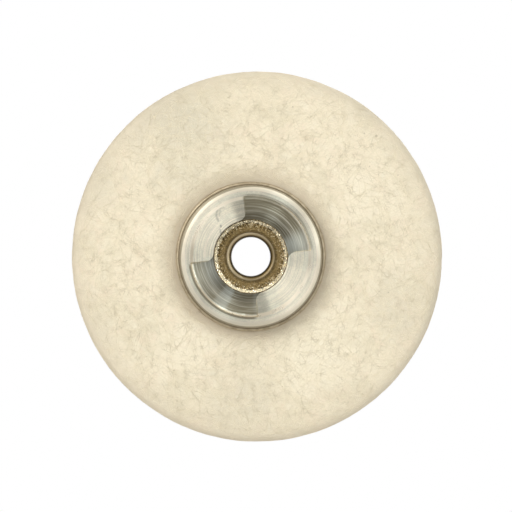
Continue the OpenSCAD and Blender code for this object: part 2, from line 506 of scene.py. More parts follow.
@dataclass(frozen=True)
class TurnedSteelFinish:
    """Bright turned steel: rings left by the tool, pocket floors darkened by painted shade, and a
    bright edge.
    """

    name: str = "turned_steel"
    bright: Colour = (0.845, 0.785, 0.62)
    ring_dark: Colour = (0.55, 0.52, 0.42)
    rose: Colour = (0.90, 0.79, 0.66)
    green: Colour = (0.78, 0.80, 0.65)
    # Painted shade: the dark floor colour stands in for the shade and the dark reflection down in the
    # pockets.
    floor: Colour = (0.235, 0.207, 0.14)
    floor_light: Colour = (0.76, 0.72, 0.59)
    edge: Colour = (1.0, 0.905, 0.72)
    edge_shaded: Colour = (0.86, 0.785, 0.625)
    foot_shaded: Colour = (0.86, 0.76, 0.58)
    # Painted shade: dark colours for the band round the collar's outer side.
    painted_shade: Colour = (0.38, 0.325, 0.23)
    painted_shade_pale: Colour = (0.52, 0.46, 0.34)
    scratch: Colour = (0.26, 0.25, 0.21)
    wall_shade: Colour = (0.24, 0.20, 0.13)
    floor_y: float = 0.0
    pocket_radius: float = 4.88
    edge_radius: float = 5.3
    edge_level: float = 4.25
    outer_radius: float = 5.75
    # Painted shade: the direction, in degrees, round which the foot fillet is left dark.
    shaded_foot_clock: float = 78.0
    # Painted highlights on the pocket floors: their colour, and for each one the clock, spread and
    # strength near and far from the bush.
    painted_highlight: Colour = (0.60, 0.61, 0.54)
    burnish_and_highlight: tuple[tuple[float, tuple[float, float], float, float], ...] = (
        (8.0, (5.0, 26.0), 0.60, 0.45), (237.0, (3.0, 10.0), 0.50, 0.35),
        (198.0, (8.0, 34.0), 0.45, 0.15), (284.0, (6.0, 13.0), 0.3, 0.2),
    )
    # Painted highlights on the jaws: clock, spread and how much lighter.
    jaw_highlights: tuple[tuple[float, tuple[float, float], float], ...] = (
        (173.0, (6.0, 20.0), 0.15), (353.0, (6.0, 18.0), 0.12), (308.0, (6.0, 20.0), 0.06),
        (98.0, (8.0, 26.0), 0.17), (282.0, (6.0, 18.0), 0.13),
    )
    # Painted shade on the jaws beside the pockets: clock, spread and how much darker.
    jaw_shade: tuple[tuple[float, tuple[float, float], float], ...] = (
        (99.0, (3.0, 15.0), 0.40), (278.0, (4.0, 16.0), 0.36),
    )
    scratches: tuple[tuple[Colour, Colour, float, float], ...] = ()

    def around(self, graph: ShaderGraph, turns: float, rings: float, detail: float,
               shift: float = 0.0) -> Socket:
        """Adds a pattern drawn out along circles, as a turning tool leaves it.

        Args:
            graph: The material being made.
            turns: How quickly it changes along a circle.
            rings: How many features there are to a millimetre of radius.
            detail: How many finer layers it has.
            shift: Moves the pattern.

        Returns:
            A value round 0.5.
        """
        way = graph.vector("NORMALIZE", graph.flat_point((0.0, 0.0)))
        spread = graph.vector("SCALE", way, scale=turns)
        across = graph.node("ShaderNodeCombineXYZ", {
            "Y": graph.math("MULTIPLY", graph.radius, rings)})
        place = graph.vector("ADD", spread, across.outputs[0])
        return graph.noise(1.0, detail, 0.6, at=place, shift=shift)

    def rings(self, graph: ShaderGraph, pitch: float, broken: float) -> Socket:
        """Adds true circles whose strength comes and goes on the way round.

        Args:
            graph: The material being made.
            pitch: How many circles there are to a millimetre of radius.
            broken: How much of the pattern is broken up, from 0 to 1.

        Returns:
            A value round 0.5.
        """
        true = graph.line_noise(graph.radius, pitch, 2.0)
        drawn = self.around(graph, 1.7, pitch * 0.8, 2.0, pitch)
        whole = graph.math("MULTIPLY", true, 1.0 - broken)
        return graph.math("MULTIPLY_ADD", drawn, broken, whole)

    def rounded_edge(self, graph: ShaderGraph, edge: Socket) -> Socket:
        """Works out the true slope of the collar's rolled edge.

        Args:
            graph: The material being made.
            edge: Where the edge is, from 0 to 1.

        Returns:
            The surface's direction, smooth over the edge.
        """
        plain = graph.node("ShaderNodeNewGeometry", {}).outputs["Normal"]
        way = graph.vector("NORMALIZE", graph.flat_point((0.0, 0.0)))
        out = graph.vector("SCALE", way, scale=graph.math(
            "SUBTRACT", graph.radius, self.edge_radius))
        level = graph.math("ADD", graph.math("ABSOLUTE", graph.y), -self.edge_level)
        side = graph.math("MULTIPLY", graph.math("MAXIMUM", level, 0.0),
                          graph.math("SIGN", graph.y))
        up = graph.node("ShaderNodeCombineXYZ", {"Y": side})
        rolled = graph.vector("NORMALIZE", graph.vector("ADD", out, up.outputs[0]))
        on_roll = graph.math("MULTIPLY", graph.math("GREATER_THAN", edge, 0.5),
                             graph.math("GREATER_THAN", level, 0.0))
        made = graph.node("ShaderNodeMix", {}, data_type="VECTOR")
        sockets = [socket for socket in made.inputs if socket.type == "VECTOR"]
        graph.feed(made.inputs["Factor"], on_roll)
        graph.feed(sockets[-2], plain)
        graph.feed(sockets[-1], rolled)
        return next(socket for socket in made.outputs if socket.type == "VECTOR")

    def facing(self, graph: ShaderGraph, clock: float, spread: tuple[float, float]) -> Socket:
        """Finds the places on one side of the axis.

        Args:
            graph: The material being made.
            clock: The side's direction in degrees, anticlockwise from the right.
            spread: How far round, in degrees, it is full and where it ends.

        Returns:
            1 on that side and 0 elsewhere.
        """
        way = graph.vector("NORMALIZE", graph.flat_point((0.0, 0.0)))
        dot = graph.node("ShaderNodeVectorMath", {}, operation="DOT_PRODUCT")
        graph.feed(dot.inputs[0], way)
        side = math.radians(clock)
        graph.feed(dot.inputs[1], (math.cos(side), 0.0, math.sin(side)))
        near, far = (math.cos(math.radians(angle)) for angle in spread)
        return graph.band(dot.outputs["Value"], far, near)

    def pockets(self, graph: ShaderGraph) -> Socket:
        """Finds the pockets' floors, without the bright fillet at their foot.

        Args:
            graph: The material being made.

        Returns:
            1 on the floors and 0 elsewhere.
        """
        # Painted shade: near the top of the wheel the floors' dark colour reaches up over the foot
        # fillet.
        shading_side = self.facing(graph, self.shaded_foot_clock, (17.0, 21.0))
        reach = graph.math("MULTIPLY_ADD", shading_side, 0.2, 0.055)
        rise = graph.math("SUBTRACT", self.floor_y, graph.y)
        low = graph.math("SUBTRACT", 1.0, graph.math("DIVIDE", rise, reach), clamp=True)
        high = graph.band(graph.y, self.floor_y + 0.1, self.floor_y + 0.2, (1.0, 0.0))
        inside = graph.band(graph.radius, self.pocket_radius, self.pocket_radius + 0.02,
                            (1.0, 0.0))
        return graph.math("MULTIPLY", inside, graph.math("MULTIPLY", low, high))

    def foot(self, graph: ShaderGraph) -> Socket:
        """Finds the smooth fillet at the foot of the pockets' outer wall, apart from the side where it
        is left in painted shade.

        Args:
            graph: The material being made.

        Returns:
            1 on the fillet and 0 elsewhere.
        """
        rise = graph.math("SUBTRACT", self.floor_y, graph.y)
        raised = graph.band(rise, 0.04, 0.08)
        close = graph.band(graph.radius, self.pocket_radius - 0.32, self.pocket_radius - 0.2)
        inside = graph.band(graph.radius, self.pocket_radius, self.pocket_radius + 0.02,
                            (1.0, 0.0))
        # Painted shade: near the top of the wheel the fillet is left out.
        shading_side = self.facing(graph, self.shaded_foot_clock, (16.0, 22.0))
        polish_and_light = graph.math("MULTIPLY", graph.math("MULTIPLY", raised, close), inside)
        return graph.math("MULTIPLY", polish_and_light, graph.math("SUBTRACT", 1.0, shading_side))

    def scratch_marks(self, graph: ShaderGraph) -> Socket:
        """Draws the few deeper scratches.

        Args:
            graph: The material being made.

        Returns:
            How deep the scratches are, from 0 to 1.
        """
        total: Any = 0.0
        wobble = graph.math("MULTIPLY", graph.math("SUBTRACT", graph.noise(4.5, 3.0), 0.5), 0.22)
        flat = graph.flat_point((0.0, 0.0))
        for start, end, width, depth in self.scratches:
            along = Vector(end) - Vector(start)
            from_start = graph.vector("SUBTRACT", flat, start)
            dot = graph.node("ShaderNodeVectorMath", {}, operation="DOT_PRODUCT")
            graph.feed(dot.inputs[0], from_start)
            graph.feed(dot.inputs[1], tuple(along / along.length_squared))
            part = graph.math("ADD", dot.outputs["Value"], 0.0, clamp=True)
            nearest = graph.vector("SCALE", tuple(along), scale=part)
            gap = graph.math("ADD", graph.vector("DISTANCE", from_start, nearest), wobble)
            mark = graph.band(gap, 0.0, width, (depth, 0.0))
            total = graph.math("MAXIMUM", total, mark)
        return graph.math("MULTIPLY", total, graph.math("LESS_THAN", graph.y, 0.0))

    def material(self) -> bpy.types.Material:
        """Builds the steel.

        Returns:
            The material.
        """
        graph = ShaderGraph(self.name)
        coarse = self.rings(graph, 5.2, 0.4)
        fine = self.rings(graph, 10.5, 0.55)
        broad = self.around(graph, 1.6, 0.7, 2.0, 13.0)
        smear = graph.noise(1.3, 4.0, 0.6)
        pockets = self.pockets(graph)
        top = graph.mix(graph.band(fine, 0.40, 0.55, (0.6, 0.0)), self.bright, self.ring_dark)
        top = graph.mix(graph.band(coarse, 0.36, 0.48, (0.35, 0.0)), top, self.ring_dark)
        top = graph.mix(graph.band(coarse, 0.5, 0.62, (0.0, 0.5)), top, self.rose)
        top = graph.mix(graph.band(broad, 0.52, 0.66, (0.0, 0.3)), top, self.green)
        top = graph.mix(graph.band(smear, 0.48, 0.7, (0.0, 0.3)), top, self.ring_dark)
        speckle = graph.noise(8.5, 2.0, 0.6, shift=17.0)
        top = graph.mix(graph.band(speckle, 0.36, 0.6, (0.34, 0.0)), top, self.ring_dark)
        # Painted light: the jaws' colour is raised in painted highlights and lowered in painted shade,
        # by direction.
        painted_light: Any = 1.0
        for clock, spread, amount in self.jaw_highlights:
            painted_light = graph.math("MULTIPLY_ADD", self.facing(graph, clock, spread), amount, painted_light)
        on_jaws = graph.band(graph.radius, self.pocket_radius - 0.1, self.pocket_radius + 0.2,
                             (1.0, 0.0))
        on_jaws = graph.math("MULTIPLY", on_jaws, graph.math("LESS_THAN", graph.y, 0.0))
        for clock, spread, amount in self.jaw_shade:
            patch = graph.math("MULTIPLY", self.facing(graph, clock, spread), on_jaws)
            painted_light = graph.math("MULTIPLY_ADD", patch, -amount, painted_light)
        top = graph.vector("SCALE", top, scale=painted_light)
        # Painted shade: the pocket floors take the dark floor colour, lighter along the turning rings.
        floor = graph.mix(graph.band(coarse, 0.46, 0.64, (0.0, 0.45)), self.floor,
                          self.floor_light)
        floor = graph.mix(graph.band(fine, 0.5, 0.64, (0.0, 0.5)), floor, self.floor_light)
        floor = graph.mix(graph.band(fine, 0.36, 0.5, (0.75, 0.0)), floor, self.floor)
        # Painted shade: the pocket floors darken towards 84 and 263 degrees, beside the jaws.
        deep = self.facing(graph, 84.0, (6.0, 24.0))
        deep = graph.math("MAXIMUM", deep, self.facing(graph, 263.0, (4.0, 16.0)))
        floor = graph.mix(graph.math("MULTIPLY", deep, 0.35), floor, self.floor)
        # Painted highlight: radial streaks on the pocket floors where the lamps would reflect.
        for clock, spread, inner, outer in self.burnish_and_highlight:
            amount = graph.band(graph.radius, 3.3, 4.2, (inner, outer))
            patch = graph.math("MULTIPLY", self.facing(graph, clock, spread), amount)
            floor = graph.mix(patch, floor, self.painted_highlight)
        shade = graph.band(graph.radius, 3.2, 4.4, (0.72, 1.28))
        floor = graph.vector("SCALE", floor, scale=shade)
        colour = graph.mix(pockets, top, floor)
        edge = graph.band(graph.radius, self.edge_radius - 0.02, self.edge_radius + 0.02)
        graph.feed(graph.shader.inputs["Normal"], self.rounded_edge(graph, edge))
        # Painted shade: the collar's edge is darker towards the bottom.
        edge_tone = graph.mix(self.facing(graph, 268.0, (15.0, 85.0)), self.edge, self.edge_shaded)
        colour = graph.mix(edge, colour, edge_tone)
        # Painted shade: a dark band round the collar's outer side, where it reflects the shaded felt,
        # reaching further in at the upper left.
        shade_reach = graph.math("MULTIPLY_ADD", self.facing(graph, 135.0, (20.0, 55.0)), 0.09,
                           graph.radius)
        outer = graph.band(shade_reach, self.outer_radius - 0.16, self.outer_radius - 0.08)
        turned = graph.band(graph.line_noise(graph.y, 9.0, 3.0), 0.35, 0.65)
        colour = graph.mix(outer, colour, graph.mix(turned, self.painted_shade, self.painted_shade_pale))
        colour = graph.mix(self.scratch_marks(graph), colour, self.scratch)
        foot = self.foot(graph)
        # Painted shade: the foot fillet is duller towards the lower left.
        foot_tone = graph.mix(self.facing(graph, 231.0, (45.0, 90.0)), self.edge, self.foot_shaded)
        colour = graph.mix(foot, colour, foot_tone)
        # Painted shade: a dark line on the pockets' outer wall over both pocket spans, strongest at the
        # lower left.
        wall_shade = graph.band(graph.math("ABSOLUTE", graph.math(
            "SUBTRACT", graph.radius, self.pocket_radius + 0.07)), 0.05, 0.12, (0.85, 0.0))
        spans = graph.math("MAXIMUM", self.facing(graph, 51.0, (41.0, 46.0)),
                           self.facing(graph, 231.0, (41.0, 46.0)))
        cut = graph.math("MULTIPLY", spans, graph.math(
            "LESS_THAN", graph.y, self.floor_y - 0.1))
        cut = graph.math("MULTIPLY", cut, graph.band(
            self.facing(graph, 231.0, (60.0, 120.0)), 0.0, 1.0, (0.6, 1.0)))
        colour = graph.mix(graph.math("MULTIPLY", wall_shade, cut), colour, self.wall_shade)
        still = graph.math("SUBTRACT", 1.0, edge)
        rings = graph.math("ADD", graph.math("MULTIPLY", coarse, 0.6), fine)
        graph.bump(graph.math("MULTIPLY", rings, still), 0.005, 0.5)
        rough = graph.math("MULTIPLY_ADD", pockets, -0.09, 0.45)
        rough = graph.math("ADD", rough, graph.math("MULTIPLY", edge, 0.06))
        rough = graph.math("SUBTRACT", rough, graph.math("MULTIPLY", foot, 0.16))
        rough = graph.math("ADD", rough, graph.band(smear, 0.3, 0.7, (-0.03, 0.04)))
        outward = graph.vector("NORMALIZE", graph.flat_point((0.0, 0.0)))
        return graph.finish(
            Base_Color=colour, Metallic=1.0, Roughness=rough, Anisotropic=0.93, Tangent=outward)


@dataclass(frozen=True)
class BronzeFinish:
    """Oil-filled sintered bronze: brown, porous and sparkling, with burnishing at the bore that is
    darker on one side in painted shade, a painted highlight round the bore's mouth, and painted light
    on the rim.
    """

    name: str = "sintered_bronze"
    brown: Colour = (0.28, 0.195, 0.08)
    pore: Colour = (0.03, 0.02, 0.008)
    grain: Colour = (0.66, 0.54, 0.33)
    glint: Colour = (0.98, 0.89, 0.67)
    # The bore mouth's burnishing colour, on the side away from its painted shade.
    burnish_and_highlight: Colour = (0.42, 0.325, 0.185)
    bore_shade: Colour = (0.13, 0.09, 0.035)
    mouth_radius: float = 1.95
    dark_mouth_side: tuple[float, float] = (0.78, -0.62)
    lip_highlight: Colour = (0.64, 0.52, 0.335)
    lip_width: float = 0.11
    rim: tuple[float, float] = (2.70, 2.90)
    lit_side: tuple[float, float] = (-0.45, -0.89)
    loose: float = 0.0

    def material(self) -> bpy.types.Material:
        """Builds the bronze.

        Returns:
            The material.
        """
        graph = ShaderGraph(self.name)
        grains = graph.cells(9.0)
        facets = graph.node("ShaderNodeSeparateColor", {"Color": grains.outputs["Color"]})
        pores = graph.noise(7.0, 4.0, 0.7, shift=3.0)
        shining = graph.band(facets.outputs[0], 0.78, 0.96)
        if self.loose:
            colour = graph.mix(graph.band(pores, 0.32, 0.5), self.burnish_and_highlight, self.grain)
            glints = graph.band(facets.outputs[1], 0.85 - self.loose, 1.1 - self.loose)
            colour = graph.mix(glints, colour, self.glint)
            graph.bump(pores, 0.02, 0.5)
            return graph.finish(Base_Color=colour, Metallic=1.0, Roughness=0.24)
        open_part = graph.band(graph.radius, self.mouth_radius + 0.25, self.rim[0] - 0.1,
                               (0.35, 1.0))
        holes = graph.math("MULTIPLY", graph.band(pores, 0.42, 0.56, (0.85, 0.0)), open_part)
        colour = graph.mix(holes, self.brown, self.pore)
        glints = graph.math("MULTIPLY", shining, graph.math("MULTIPLY", open_part, 0.7))
        colour = graph.mix(glints, colour, self.grain)
        outward = graph.vector("NORMALIZE", graph.flat_point((0.0, 0.0)))
        ragged = graph.math("MULTIPLY", graph.math("SUBTRACT", pores, 0.5), 0.55)
        reach = graph.math("ADD", graph.radius, ragged)
        rim = graph.math("MULTIPLY", graph.band(reach, self.rim[0] - 0.04, self.rim[0] + 0.06),
                         graph.math("LESS_THAN", graph.y, 0.0))
        # Painted light: the rim's bright ring is brightest and fullest towards the lower left and
        # dimmer towards the upper right.
        shading_side = graph.node("ShaderNodeVectorMath", {}, operation="DOT_PRODUCT")
        graph.feed(shading_side.inputs[0], outward)
        graph.feed(shading_side.inputs[1], (self.lit_side[0], 0.0, self.lit_side[1]))
        painted_light = graph.band(shading_side.outputs["Value"], -0.9, 0.8, (0.5, 1.0))
        rim = graph.math("MULTIPLY", rim, graph.band(
            graph.radius, self.rim[1] + 0.01, self.rim[1] + 0.05, (1.0, 0.0)))
        pitted = graph.band(graph.noise(5.5, 3.0, 0.7, shift=9.0), 0.44, 0.56, (0.45, 1.0))
        polish_and_light = graph.band(shading_side.outputs["Value"], 0.3, 0.95, (0.0, 0.9))
        rim = graph.math("MULTIPLY", rim, graph.math("MAXIMUM", pitted, polish_and_light))
        colour = graph.mix(graph.math("MULTIPLY", rim, painted_light), colour, self.glint)
        smooth = graph.band(graph.radius, self.mouth_radius - 0.02, self.mouth_radius + 0.06,
                            (1.0, 0.0))
        # Painted shade: the bore's mouth is darker towards the lower right, and darkest at the hole's
        # edge.
        side = graph.node("ShaderNodeVectorMath", {}, operation="DOT_PRODUCT")
        graph.feed(side.inputs[0], outward)
        graph.feed(side.inputs[1], (self.dark_mouth_side[0], 0.0, self.dark_mouth_side[1]))
        mouth_shade = graph.band(side.outputs["Value"], -0.9, 0.95, (0.1, 0.95))
        bore = graph.mix(mouth_shade, self.burnish_and_highlight, self.bore_shade)
        bore = graph.mix(graph.band(graph.radius, 1.68, 1.80, (0.75, 0.0)), bore, self.bore_shade)
        colour = graph.mix(smooth, colour, bore)
        # Painted highlight: a bright line round the rounded edge of the bore's mouth, dimmer on its
        # shaded side.
        lip_highlight = graph.band(graph.math("ABSOLUTE", graph.math(
            "SUBTRACT", graph.radius, self.mouth_radius - 0.08)), 0.02, self.lip_width, (0.6, 0.0))
        lip_highlight = graph.math("MULTIPLY", lip_highlight, graph.band(mouth_shade, 0.1, 0.95, (0.8, 0.45)))
        colour = graph.mix(lip_highlight, colour, self.lip_highlight)
        # Painted shade: a dark ring in the crease just outside the rounded mouth of the bore.
        ditch = graph.band(graph.math("ABSOLUTE", graph.math(
            "SUBTRACT", graph.radius, self.mouth_radius + 0.10)), 0.02, 0.15, (0.5, 0.0))
        colour = graph.mix(ditch, colour, self.pore)
        rough = graph.band(smooth, 0.0, 1.0, (0.46, 0.38))
        relief = graph.math("MULTIPLY", graph.math("ADD", grains.outputs["Distance"], pores),
                            graph.band(smooth, 0.0, 1.0, (1.0, 0.04)))
        graph.bump(relief, 0.07, 1.0)
        return graph.finish(Base_Color=colour, Metallic=0.9, Roughness=rough)


@dataclass(frozen=True)
class WasherFinish:
    """Thin tumbled steel with fine all-over marks, in a tan tone that paints the reflection of the
    shaded felt, and painted shade in the crease at the collar.
    """

    name: str = "washer_steel"
    # Painted reflection: the tan tones stand in for the shaded felt seen in the washer.
    bright: Colour = (0.51, 0.425, 0.295)
    dull: Colour = (0.39, 0.32, 0.215)
    crease_shade: Colour = (0.20, 0.155, 0.09)
    collar_radius: float = 5.75

    def material(self) -> bpy.types.Material:
        """Builds the washers' steel.

        Returns:
            The material.
        """
        graph = ShaderGraph(self.name)
        patches = graph.noise(1.6, 4.0, 0.6)
        marks = graph.noise(16.0, 3.0, 0.6, 1.5)
        colour = graph.mix(graph.band(patches, 0.4, 0.65), self.bright, self.dull)
        colour = graph.mix(graph.band(marks, 0.5, 0.65, (0.0, 0.3)), colour, self.dull)
        # Painted shade: the washer darkens in the crease against the collar.
        crease_shade = graph.band(graph.radius, self.collar_radius + 0.04, self.collar_radius + 0.17,
                          (0.8, 0.0))
        colour = graph.mix(crease_shade, colour, self.crease_shade)
        graph.bump(marks, 0.005, 0.6)
        return graph.finish(Base_Color=colour, Metallic=1.0,
                            Roughness=graph.band(patches, 0.35, 0.65, (0.48, 0.6)))


@dataclass(frozen=True)
class GlueFinish:
    """A thin film of hardened amber adhesive."""

    name: str = "amber_adhesive"
    amber: Colour = (0.36, 0.22, 0.08)
    dark: Colour = (0.20, 0.12, 0.05)

    def material(self) -> bpy.types.Material:
        """Builds the adhesive.

        Returns:
            The material.
        """
        graph = ShaderGraph(self.name)
        flow = graph.noise(2.2, 4.0, 0.6, 0.8)
        colour = graph.mix(graph.band(flow, 0.35, 0.65), self.amber, self.dark)
        graph.bump(flow, 0.03, 0.6)
        return graph.finish(Base_Color=colour, Roughness=graph.band(flow, 0.3, 0.7, (0.25, 0.5)))


def add_piece(name: str, mesh: bpy.types.Mesh, material: bpy.types.Material,
              smooth: bool = True) -> bpy.types.Object:
    """Puts a finished mesh in the scene as one of the wheel's pieces.

    Args:
        name: The piece's name.
        mesh: Its mesh, already in place.
        material: Its finish.
        smooth: Whether its faces are shaded smooth.

    Returns:
        The new object.
    """
    for polygon in mesh.polygons:
        polygon.use_smooth = smooth
    mesh.materials.append(material)
    piece = bpy.data.objects.new(name, mesh)
    bpy.context.scene.collection.objects.link(piece)
    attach(piece, ROOT)
    LOG.info("%s: %d faces", name, len(mesh.polygons))
    return piece


@dataclass
class FeltDisc:
    """The felt disc: a spun form, swollen between hub and rim and roughened by matted wool."""

    hole_radius: float = 3.8 * MM
    edge_radius: float = 0.7 * MM
    clamp_radius: float = 5.9 * MM
    swell: float = 0.16 * MM
    matting: float = 0.036 * MM
    settle: float = 0.02 * MM
    cell: float = 0.26 * MM
    edge_steps: int = 6

    def __post_init__(self) -> None:
        """Takes the disc's size and place from the frame."""
        low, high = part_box("felt_disc")
        self.centre_x = (low.x + high.x) / 2.0
        self.radius = (high.x - low.x) / 2.0
        self.half = (high.y - low.y) / 2.0

    def lift(self, point: Vector) -> float:
        """How far the felt stands off its plain form.

        Args:
            point: A place on the plain form.

        Returns:
            The distance outwards, in metres.
        """
        reach = math.hypot(point.x - self.centre_x, point.z) / self.radius
        hub = smooth_step(math.hypot(point.x, point.z), self.clamp_radius, self.clamp_radius + 1.8 * MM)
        rim = 1.0 - smooth_step(reach, 0.72, 1.0)
        slow = noise.noise(point / (3.1 * MM))
        quick = noise.noise(point / (1.1 * MM))
        matted = self.matting * hub * (0.9 * slow + quick) * (0.4 + 0.6 * rim)
        return self.swell * hub * rim + matted - self.settle * (1.0 - rim)

    def section(self, mesh: bmesh.types.BMesh) -> None:
        """Draws half of the disc's section, with its rim edges rounded.

        Args:
            mesh: The mesh to draw it in.
        """
        corners = [
            mesh.verts.new((self.hole_radius, -self.half, 0.0)),
            mesh.verts.new((self.radius, -self.half, 0.0)),
            mesh.verts.new((self.radius, self.half, 0.0)),
            mesh.verts.new((self.hole_radius, self.half, 0.0)),
        ]
        for start, end in zip(corners, corners[1:] + corners[:1]):
            mesh.edges.new((start, end))
        bmesh.ops.bevel(
            mesh, geom=corners[1:3], offset=self.edge_radius, offset_type="OFFSET",
            segments=self.edge_steps, profile=0.5, affect="VERTICES", material=-1)
        for edge in list(mesh.edges):
            cuts = round(edge.calc_length() / self.cell) - 1
            if cuts > 0:
                bmesh.ops.subdivide_edges(mesh, edges=[edge], cuts=cuts)

    def build(self) -> bpy.types.Mesh:
        """Spins the section and roughens it.

        Returns:
            The felt's mesh.
        """
        mesh = bmesh.new()
        self.section(mesh)
        steps = round(2.0 * math.pi * self.radius / self.cell)
        bmesh.ops.spin(
            mesh, geom=mesh.verts[:] + mesh.edges[:], cent=(0.0, 0.0, 0.0), axis=(0.0, 1.0, 0.0),
            dvec=(0.0, 0.0, 0.0), angle=2.0 * math.pi, steps=steps, use_merge=True,
            use_duplicate=False)
        bmesh.ops.remove_doubles(mesh, verts=mesh.verts[:], dist=0.002 * MM)
        bmesh.ops.recalc_face_normals(mesh, faces=mesh.faces[:])
        for vertex in mesh.verts:
            away = math.hypot(vertex.co.x, vertex.co.z)
            share = (away - self.hole_radius) / (self.radius - self.hole_radius)
            vertex.co.x += self.centre_x * share
        mesh.normal_update()
        moved = [(vertex, vertex.normal * self.lift(vertex.co)) for vertex in mesh.verts]
        for vertex, step in moved:
            vertex.co += step
        made = bpy.data.meshes.new("felt_body")
        mesh.to_mesh(made)
        mesh.free()
        return made

    def dress(self) -> bpy.types.Object:
        """Adds the felt to the scene in place of its plain solid.

        Returns:
            The felt.
        """
        finish = FeltFinish(rim_centre=(self.centre_x / MM, 0.0), rim_radius=self.radius / MM)
        piece = add_piece("felt_body", self.build(), finish.material())
        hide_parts("felt_disc")
        return piece


@dataclass
class Fibres:
    """Loose wool fibres that lie matted on the felt, in and out of its surface."""

    felt: FeltDisc
    thickness: float = 0.009 * MM
    step: float = 0.34 * MM
    shortest: int = 7
    longest: int = 26
    wander: float = 0.15
    turn: float = 0.08

    def flat_path(self, rng: random.Random, face: Face) -> list[Vector]:
        """Lets one fibre wander over a flat face.

        Args:
            rng: The source of chance.
            face: The face it lies on.

        Returns:
            Its points.
        """
        felt = self.felt
        inner = felt.clamp_radius + 0.4 * MM
        outer = felt.radius - 0.3 * felt.edge_radius
        away = math.sqrt(rng.uniform(inner ** 2, outer ** 2))
        angle = rng.uniform(0.0, math.tau)
        x, z = felt.centre_x + away * math.cos(angle), away * math.sin(angle)
        heading, turn = rng.uniform(0.0, math.tau), rng.gauss(0.0, self.turn)
        phase = rng.uniform(0.0, math.tau)
        points = []
        for index in range(rng.randint(self.shortest, self.longest)):
            reach = math.hypot(x - felt.centre_x, z)
            if reach > outer or math.hypot(x, z) < inner:
                break
            over = max(0.0, reach - (felt.radius - felt.edge_radius))
            fall = felt.edge_radius - math.sqrt(felt.edge_radius ** 2 - over ** 2)
            base = Vector((x, face.value * (felt.half - fall), z))
            bob = self.thickness * (0.25 + 0.8 * math.sin(index * 0.6 + phase))
            base.y += face.value * (felt.lift(base) + bob)
            points.append(base)
            heading += turn + rng.gauss(0.0, self.wander)
            x += self.step * math.cos(heading)
            z += self.step * math.sin(heading)
        return points

    def rim_path(self, rng: random.Random, _face: Face) -> list[Vector]:
        """Lets one fibre wander round the rim.

        Args:
            rng: The source of chance.

        Returns:
            Its points.
        """
        felt = self.felt
        limit = felt.half - felt.edge_radius * 0.6
        angle, y = rng.uniform(0.0, math.tau), rng.uniform(-limit, limit)
        heading, turn = rng.uniform(0.0, math.tau), rng.gauss(0.0, self.turn)
        points = []
        for index in range(rng.randint(self.shortest, self.longest)):
            if abs(y) > limit:
                break
            out = Vector((math.cos(angle), 0.0, math.sin(angle)))
            base = Vector((felt.centre_x, y, 0.0)) + out * felt.radius
            bob = self.thickness * (0.1 + 0.8 * math.sin(index * 0.8 + heading))
            points.append(base + out * (felt.lift(base) + bob))
            heading += turn + rng.gauss(0.0, self.wander)
            angle += self.step * math.cos(heading) / felt.radius
            y += self.step * math.sin(heading)
        return points

    def lay(self, name: str, count: int, seed: int, face: Face,
            path: Callable[[random.Random, Face], list[Vector]],
            material: bpy.types.Material) -> bpy.types.Object:
        """Lays many fibres as one piece.

        Args:
            name: The piece's name.
            count: How many fibres it has.
            seed: The seed of its chance.
            face: The face they lie on.
            path: What gives one fibre's points.
            material: Their finish.

        Returns:
            The piece.
        """
        rng = random.Random(seed)
        curve = bpy.data.curves.new(name, "CURVE")
        curve.dimensions = "3D"
        curve.bevel_depth = self.thickness
        curve.bevel_resolution = 0
        curve.use_fill_caps = True
        for _ in range(count):
            points = path(rng, face)
            if len(points) < 4:
                continue
            spline = curve.splines.new("POLY")
            spline.points.add(len(points) - 1)
            for index, (target, point) in enumerate(zip(spline.points, points)):
                target.co = (*point, 1.0)
                along = index / (len(points) - 1)
                target.radius = 0.25 + 0.95 * math.sin(math.pi * along) ** 0.5
        holder = bpy.data.objects.new(name, curve)
        mesh = bpy.data.meshes.new_from_object(holder)
        bpy.data.objects.remove(holder)
        bpy.data.curves.remove(curve)
        mesh.name = name
        return add_piece(name, mesh, material)

    def dress(self) -> None:
        """Lays the fibres of both faces and of the rim."""
        material = FibreFinish().material()
        for layer in (1, 2):
            self.lay(f"felt_fibres_front_{layer}", 1500, 10 + layer, Face.FRONT, self.flat_path,
                     material)
            self.lay(f"felt_fibres_rear_{layer}", 1500, 20 + layer, Face.REAR, self.flat_path,
                     material)
            self.lay(f"felt_fibres_rim_{layer}", 1000, 30 + layer, Face.FRONT, self.rim_path,
                     material)


